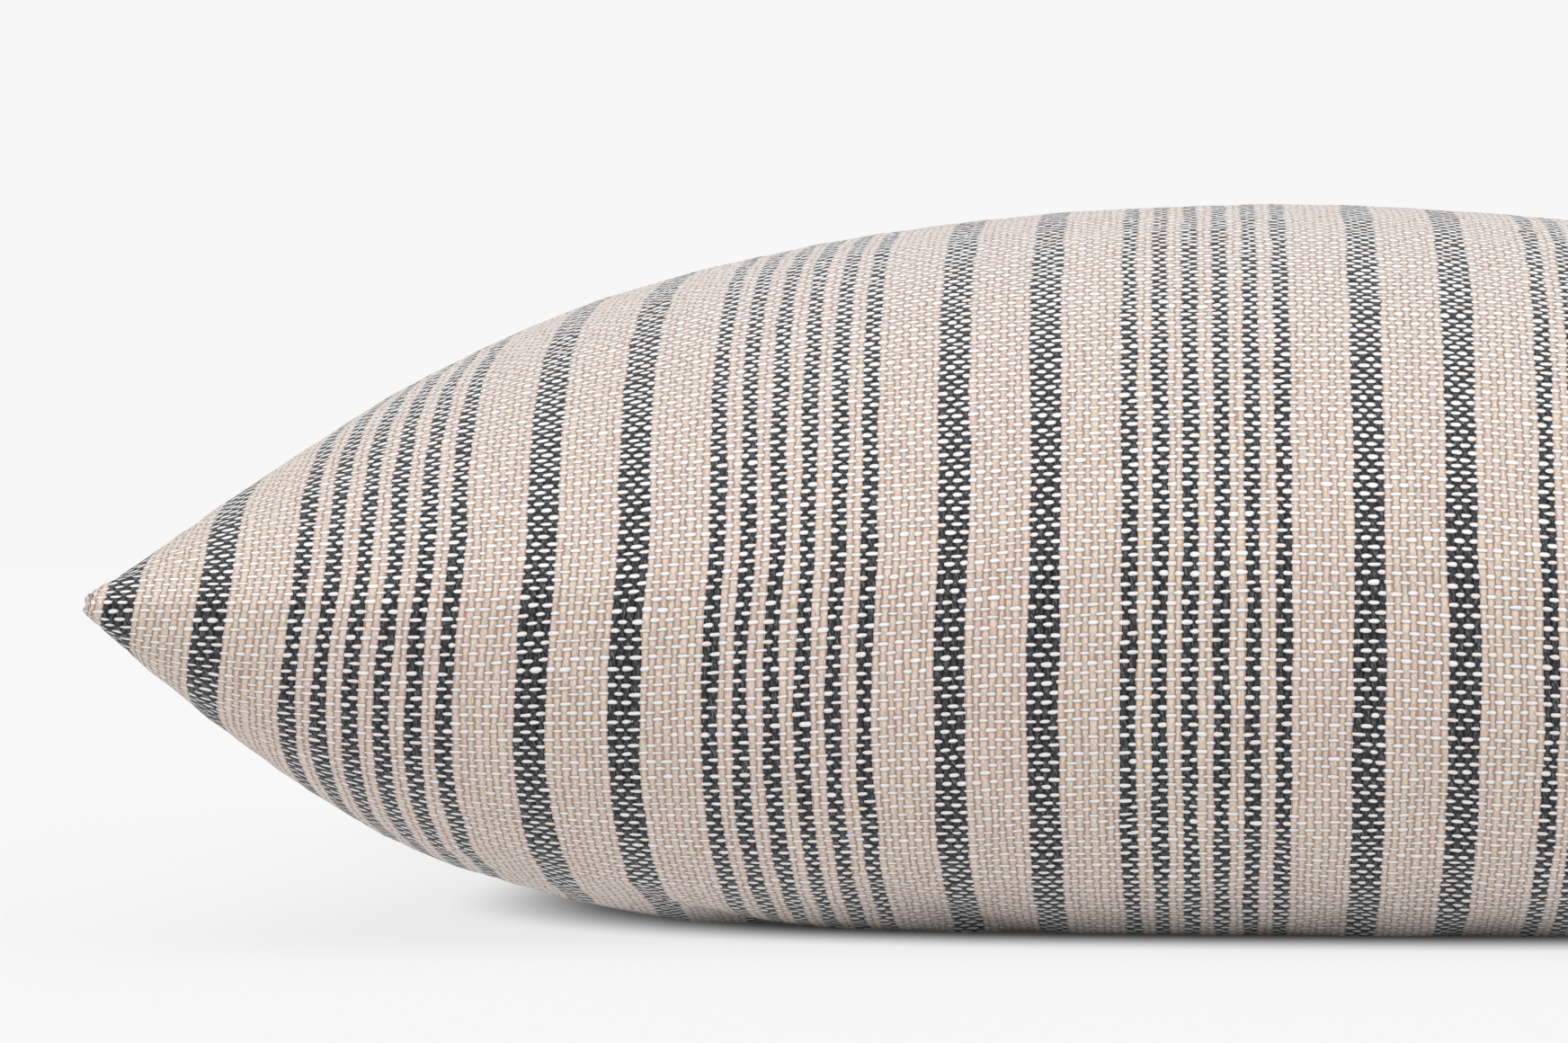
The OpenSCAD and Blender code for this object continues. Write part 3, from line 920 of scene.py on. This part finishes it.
class PILLOW_OT_seams(bpy.types.Operator):
    """Makes the side seams' threads, the back seam's ends and the overlock threads"""

    bl_idname = "pillow.seams"
    bl_label = "Seams"

    def execute(self, context):
        surface = cover_surface()
        thread = twisted_thread("seam_thread", (0.50, 0.42, 0.33))
        overlock = twisted_thread("overlock_thread", (0.72, 0.67, 0.58), turns=2.4)
        half_flat = surface.flat / 2
        for side, word in ((-1, "left"), (1, "right")):
            t = np.arange(-0.95, 0.95, SIDE_PITCH / half_flat)
            middle = surface.seam(np.full_like(t, side), t)
            centres = middle + [-side * 1.5 * MM, 0, 0]
            points, faces = stitches(centres, directions(middle), (side, 0, 0), 2.6 * MM, THREAD)
            piece = new_piece(f"side_seam_{word}", points, faces, thread)
            settle_in(piece, f"seam_stitches_{word}")
            # overlock: a loose coil of thread round the two raw edges
            turn = np.arange(0, 1, 1 / 1900)
            t = -0.93 + 1.86 * turn
            phase = turn * 2 * math.pi * 160
            path = surface.seam(np.full_like(t, side), t) + np.stack([
                -side * (11.6 + 1.5 * np.cos(phase)) * MM,
                0.7 * np.sin(phase) * MM,
                2.0 * np.sin(phase) * MM], 1)
            points, faces = tube(path, OVERLOCK_THREAD, 5)
            piece = new_piece(f"overlock_thread_{word}", points, faces, overlock)
            settle_in(piece, f"overlock_{word}")
            # the back edge, sewn from the end of the zip to the corner
            low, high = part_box(f"back_seam_stitches_{word}")
            x = np.linspace(low.x, high.x, 9)
            middle = surface.seam(surface.across_at(x), 1.0)
            centres = middle + [0, -0.5 * MM, 0]
            points, faces = stitches(centres, directions(middle), (0, 1, 0), 2.4 * MM, THREAD)
            piece = new_piece(f"back_seam_{word}", points, faces, thread)
            settle_in(piece, f"back_seam_stitches_{word}")
        return {"FINISHED"}


class PILLOW_OT_zip(bpy.types.Operator):
    """Makes the zip's tapes, coils, end stops and the stitches that hold it"""

    bl_idname = "pillow.zip"
    bl_label = "Zip"

    def execute(self, context):
        surface = cover_surface()
        tape, coil = herringbone_tape(), coil_plastic()
        thread = twisted_thread("zip_thread", (0.50, 0.42, 0.33))
        for side, word in ((1, "upper"), (-1, "lower")):
            self.make_tape(word, tape)
            self.make_coil(side, word, coil)
            self.make_stitches(surface, side, word, thread)
        for node in ("zip_top_stops", "zip_bottom_stop"):
            rounded_metal(node, 0.35 * MM, 30)
        return {"FINISHED"}

    @staticmethod
    def make_tape(word, material):
        """A flat tape with thinner edges."""
        low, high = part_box(f"zip_tape_{word}")
        x = np.linspace(low.x, high.x, 180)
        z = np.linspace(low.z, high.z, 8)
        edge = np.abs(np.linspace(-1, 1, 8))
        mid_y = (low.y + high.y) / 2
        thick = (high.y - low.y) / 2 * np.where(edge == 1, 0.35, 1)
        xs, zs = np.meshgrid(x, z)
        front = np.stack([xs, mid_y + thick[:, None] + 0 * xs, zs], -1)
        back = np.stack([xs, mid_y - thick[:, None] + 0 * xs, zs], -1)
        points = np.concatenate([front.reshape(-1, 3), back.reshape(-1, 3)])
        count = len(x) * len(z)
        faces = grid_faces(len(z), len(x), flip=True).tolist()
        faces += (grid_faces(len(z), len(x)) + count).tolist()
        cell = np.arange(count).reshape(len(z), len(x))
        rim = np.concatenate([cell[0], cell[1:, -1], cell[-1, -2::-1], cell[-2:0:-1, 0]])
        following = np.roll(rim, -1)
        faces += np.stack([rim, following, following + count, rim + count], 1).tolist()
        piece = new_piece(f"tape_{word}", points, faces, material)
        settle_in(piece, f"zip_tape_{word}")

    @staticmethod
    def make_coil(side, word, material):
        """A flattened coil of stiff filament whose loops reach the middle of the zip."""
        low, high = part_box(f"zip_coil_{word}")
        turns = int((high.x - low.x) / COIL_PITCH)
        phase = np.linspace(0, 2 * math.pi * turns, turns * 12)
        reach = (high.z - low.z) / 2 * side
        middle_z = (low.z + high.z) / 2 - side * 0.12 * MM
        lag = 0.25 * COIL_PITCH * side
        path = np.stack([
            low.x + (high.x - low.x) * phase / phase[-1] + lag + 0.28 * COIL_PITCH * np.sin(phase),
            (low.y + high.y) / 2 + 0.72 * MM * np.sin(phase),
            middle_z + reach * 0.86 * np.cos(phase)], 1)
        path[:, 0] = np.clip(path[:, 0], low.x, high.x)
        points, faces = tube(path, 0.3 * MM, 6)
        cord_path = np.stack([
            np.linspace(low.x, high.x, 60),
            np.full(60, (low.y + high.y) / 2),
            np.full(60, middle_z + reach * 0.2)], 1)
        points, faces = joined([(points, faces), tube(cord_path, 0.38 * MM, 8)])
        piece = new_piece(f"coil_{word}", points, faces, material)
        settle_in(piece, f"zip_coil_{word}")

    @staticmethod
    def make_stitches(surface, side, word, material):
        """The row that holds a tape to the cloth, 6 mm from the cloth's edge."""
        x = np.arange(-ZIP_HALF + 2 * MM, ZIP_HALF - 1 * MM, ZIP_PITCH)
        s = surface.across_at(x)
        t = np.full_like(s, 1 - 6 * MM / (surface.flat / 2))
        top = side > 0
        centres = surface.point(top, s, t)
        normals = surface.normal(top, s, t)
        raised = centres + normals * 0.12 * MM
        points, faces = stitches(raised, directions(centres), normals, 2.5 * MM, ZIP_THREAD)
        piece = new_piece(f"tape_seam_{word}", points, faces, material)
        settle_in(piece, f"zip_stitches_{word}")


class PILLOW_OT_slider(bpy.types.Operator):
    """Makes the zip's slider and its pull tab"""

    bl_idname = "pillow.slider"
    bl_label = "Slider and pull"

    def execute(self, context):
        rounded_metal("zip_slider", 0.3 * MM, 35)
        rounded_metal("zip_pull", 0.22 * MM, 35)
        return {"FINISHED"}


class PILLOW_OT_labels(bpy.types.Operator):
    """Makes the two blank satin labels"""

    bl_idname = "pillow.labels"
    bl_label = "Labels"

    def execute(self, context):
        cloth = satin("label_satin", (0.86, 0.84, 0.79))
        low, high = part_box("care_label")
        bend = [
            (low.x, low.z + 0.2 * MM), (low.x + 6 * MM, low.z + 0.2 * MM),
            (high.x - 2 * MM, low.z + 0.2 * MM), (high.x - 0.6 * MM, low.z + 0.8 * MM),
            (high.x - 0.2 * MM, low.z + 3 * MM), (high.x - 0.2 * MM, (low.z + high.z) / 2),
            (high.x - 0.2 * MM, high.z)]
        tag = self.strip("cover_tag", "care_label", bend, low.y, high.y, cloth)
        low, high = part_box("insert_label")
        middle = (low.x + high.x) / 2
        upright = [(middle + 0.1 * MM * math.sin(k), low.z + (high.z - low.z) * k / 8) for k in range(9)]
        tag = self.strip("insert_tag", "insert_label", upright, low.y, high.y, cloth)
        return {"FINISHED"}

    @staticmethod
    def strip(name, node, bend, y_low, y_high, material):
        """A strip of satin from y_low to y_high that follows a bend of x and z places."""
        y = np.linspace(y_low, y_high, 24)
        points = np.array([[(x, k, z) for k in y] for x, z in bend])
        piece = new_piece(name, points, grid_faces(len(bend), len(y)), material)
        apply_modifier(piece, "SOLIDIFY", thickness=0.25 * MM, offset=0)
        apply_modifier(piece, "SUBSURF", levels=1)
        return settle_in(piece, node)


class PILLOW_OT_insert(bpy.types.Operator):
    """Makes the insert: two cotton panels, their seam and the filling"""

    bl_idname = "pillow.insert"
    bl_label = "Insert"

    def execute(self, context):
        scene = context.scene
        low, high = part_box("insert_shell_upper")
        size = high.x / HALF
        shell = Surface(scene.pillow_form, scene.pillow_cloth, size, COVER_HIGH.z - high.z, 3.2 * MM)
        cotton = plain_cotton("insert_cotton", (0.86, 0.84, 0.79))
        count = 91
        s, t = self.graded_grid(count)
        for top, word in ((True, "upper"), (False, "lower")):
            points = self.panel_points(shell, top, s, t)
            faces = grid_faces(count, count, flip=not top)
            piece = new_piece(f"insert_panel_{word}", points, faces, cotton)
            apply_modifier(piece, "SOLIDIFY", thickness=0.5 * MM, offset=-1, use_even_offset=False)
            settle_in(piece, f"insert_shell_{word}")
        self.make_seam(shell)
        self.make_filling(scene)
        return {"FINISHED"}

    @staticmethod
    def graded_grid(count):
        """Places over the cloth that lie closer together towards its edges."""
        even = np.sin(np.linspace(-1, 1, count) * math.pi / 2)
        return np.meshgrid(even, even)

    @staticmethod
    def panel_points(shell, top, s, t):
        """A panel's points, with the puckers of its seam."""
        side = 1 if top else -1
        half = 260
        points = shell.smooth_point(top, s, t)
        edge = np.minimum(1 - np.abs(s), 1 - np.abs(t)) * half
        run = np.where(np.abs(s) > np.abs(t), t, s) * half
        puckers = ripple(run, (9.0, 14.0, 23.0), 21 + side) * (edge / 6) * np.exp(-edge / 10)
        points[..., 2] += side * (0.15 + 0.7 * puckers) * MM
        return points

    @staticmethod
    def make_seam(shell):
        """The insert's seam on all four sides, and the slot that was sewn shut after stuffing."""
        thread = twisted_thread("insert_thread", (0.70, 0.66, 0.58), turns=2.0)
        run = np.arange(-0.98, 0.98, INSERT_PITCH / 0.24)
        one = np.ones_like(run)
        sides = (
            (run, -one, (0, -1, 0)), (one, run, (1, 0, 0)),
            (-one, run, (-1, 0, 0)), (run, one, (0, 1, 0)))
        sewn, closing = [], []
        for s, t, out in sides:
            centres = shell.smooth_point(True, s, t)
            ways = directions(centres)
            shut = (t > 0.999) & (np.abs(s) < 0.33)
            for part, chosen in ((sewn, ~shut), (closing, shut)):
                if chosen.any():
                    row = centres[chosen] - np.array(out) * 0.4 * MM
                    part.append(stitches(row, ways[chosen], out, 2.5 * MM, INSERT_THREAD))
        for name, node, part in (
                ("insert_seam", "insert_seam_stitches", sewn),
                ("insert_closing_seam", "insert_closing_stitches", closing)):
            points, faces = joined(part)
            piece = new_piece(name, points, faces, thread)
            settle_in(piece, node)

    def make_filling(self, scene):
        """One soft lumpy mass that fills the shell."""
        low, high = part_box("insert_fill")
        size = high.x / HALF
        body = Surface(scene.pillow_form, scene.pillow_cloth, size, COVER_HIGH.z - high.z, low.z)
        count = 81
        s, t = self.graded_grid(count)
        upper = body.smooth_point(True, s, t)
        lower = body.smooth_point(False, s, t)
        across = ripple(s * 200 + 30 * np.sin(t * 9), (34.0, 57.0), 5)
        along = ripple(t * 200 + 30 * np.sin(s * 7), (41.0, 63.0), 8)
        inside = np.clip(24 * (1 - np.abs(s)) * (1 - np.abs(t)), 0, 1)
        sunk = 1.6 * MM * (0.5 + 0.5 * across * along) * inside
        upper[..., 2] -= sunk
        lower[..., 2] += sunk
        faces = grid_faces(count, count).tolist()
        faces += (grid_faces(count, count, flip=True) + count ** 2).tolist()
        points = np.concatenate([upper.reshape(-1, 3), lower.reshape(-1, 3)])
        piece = new_piece("filling", points, faces, fibre_filling())
        apply_modifier(piece, "WELD", merge_threshold=0.05 * MM)
        settle_in(piece, "insert_fill")


class PILLOW_OT_stage(bpy.types.Operator):
    """Makes the floor, the light and the camera"""

    bl_idname = "pillow.stage"
    bl_label = "Stage"

    def execute(self, context):
        scene = context.scene
        stage = scene.pillow_stage
        form = scene.pillow_form
        reach, sunk = 14.0, -0.2 * MM
        corners = [(x * reach, y * reach, sunk) for x, y in ((-1, -1), (1, -1), (1, 1), (-1, 1))]
        floor = new_piece("studio_floor", corners, [(0, 1, 2, 3)], studio_floor(form), smooth=False)
        scene.view_settings.view_transform = "Standard"
        world = bpy.data.worlds.new("studio")
        scene.world = world
        world.use_nodes = True
        nodes, links = world.node_tree.nodes, world.node_tree.links
        light = nodes["Background"]
        seen = nodes.new("ShaderNodeBackground")
        for background, strength in ((light, stage.sky), (seen, stage.backdrop)):
            background.inputs["Color"].default_value = (1, 1, 1, 1)
            background.inputs["Strength"].default_value = strength
        path = nodes.new("ShaderNodeLightPath")
        mix = nodes.new("ShaderNodeMixShader")
        links.new(path.outputs["Is Camera Ray"], mix.inputs[0])
        links.new(light.outputs[0], mix.inputs[1])
        links.new(seen.outputs[0], mix.inputs[2])
        links.new(mix.outputs[0], nodes["World Output"].inputs["Surface"])
        for name, turn, strength, spread in (
                ("soft_top", (math.radians(18), math.radians(6), 0), stage.key, 110),
                ("soft_front", (math.radians(38), 0, math.radians(-10)), stage.fill, 70)):
            lamp = bpy.data.lights.new(name, "SUN")
            lamp.energy = strength
            lamp.angle = math.radians(spread)
            holder = bpy.data.objects.new(name, lamp)
            holder.rotation_euler = turn
            holder.location = (0, 0, 2)
            scene.collection.objects.link(holder)
        camera = bpy.data.objects.new("camera", bpy.data.cameras.new("camera"))
        scene.collection.objects.link(camera)
        camera.data.sensor_width = 36
        camera.data.lens = stage.lens
        camera.location = (-stage.aside, -(HALF - form.side_pull) - stage.distance, stage.height)
        camera.rotation_euler = (math.pi / 2 + stage.tilt, 0, stage.turn)
        scene.camera = camera
        return {"FINISHED"}


class PILLOW_PT_panel(bpy.types.Panel):
    """Lists the pillow's pieces and sizes"""

    bl_idname = "PILLOW_PT_panel"
    bl_label = "Striped pillow"
    bl_space_type = "VIEW_3D"
    bl_region_type = "UI"
    bl_category = "Pillow"

    def draw(self, context):
        for group in ("pillow_form", "pillow_cloth", "pillow_stage"):
            settings = getattr(context.scene, group)
            box = self.layout.box()
            for name in settings.__annotations__:
                box.prop(settings, name)
        for operator in OPERATORS:
            self.layout.operator(operator.bl_idname)


OPERATORS = (
    PILLOW_OT_stage, PILLOW_OT_cover, PILLOW_OT_seams, PILLOW_OT_zip, PILLOW_OT_slider,
    PILLOW_OT_labels, PILLOW_OT_insert)
GROUPS = (PillowForm, PillowCloth, PillowStage)


def register():
    for each in GROUPS + OPERATORS + (PILLOW_PT_panel,):
        bpy.utils.register_class(each)
    bpy.types.Scene.pillow_form = PointerProperty(type=PillowForm)
    bpy.types.Scene.pillow_cloth = PointerProperty(type=PillowCloth)
    bpy.types.Scene.pillow_stage = PointerProperty(type=PillowStage)


def unregister():
    del bpy.types.Scene.pillow_stage
    del bpy.types.Scene.pillow_cloth
    del bpy.types.Scene.pillow_form
    for each in (PILLOW_PT_panel,) + OPERATORS[::-1] + GROUPS[::-1]:
        bpy.utils.unregister_class(each)


def main():
    register()
    for operator in OPERATORS:
        group, name = operator.bl_idname.split(".")
        getattr(getattr(bpy.ops, group), name)()


if __name__ == "__main__":
    main()
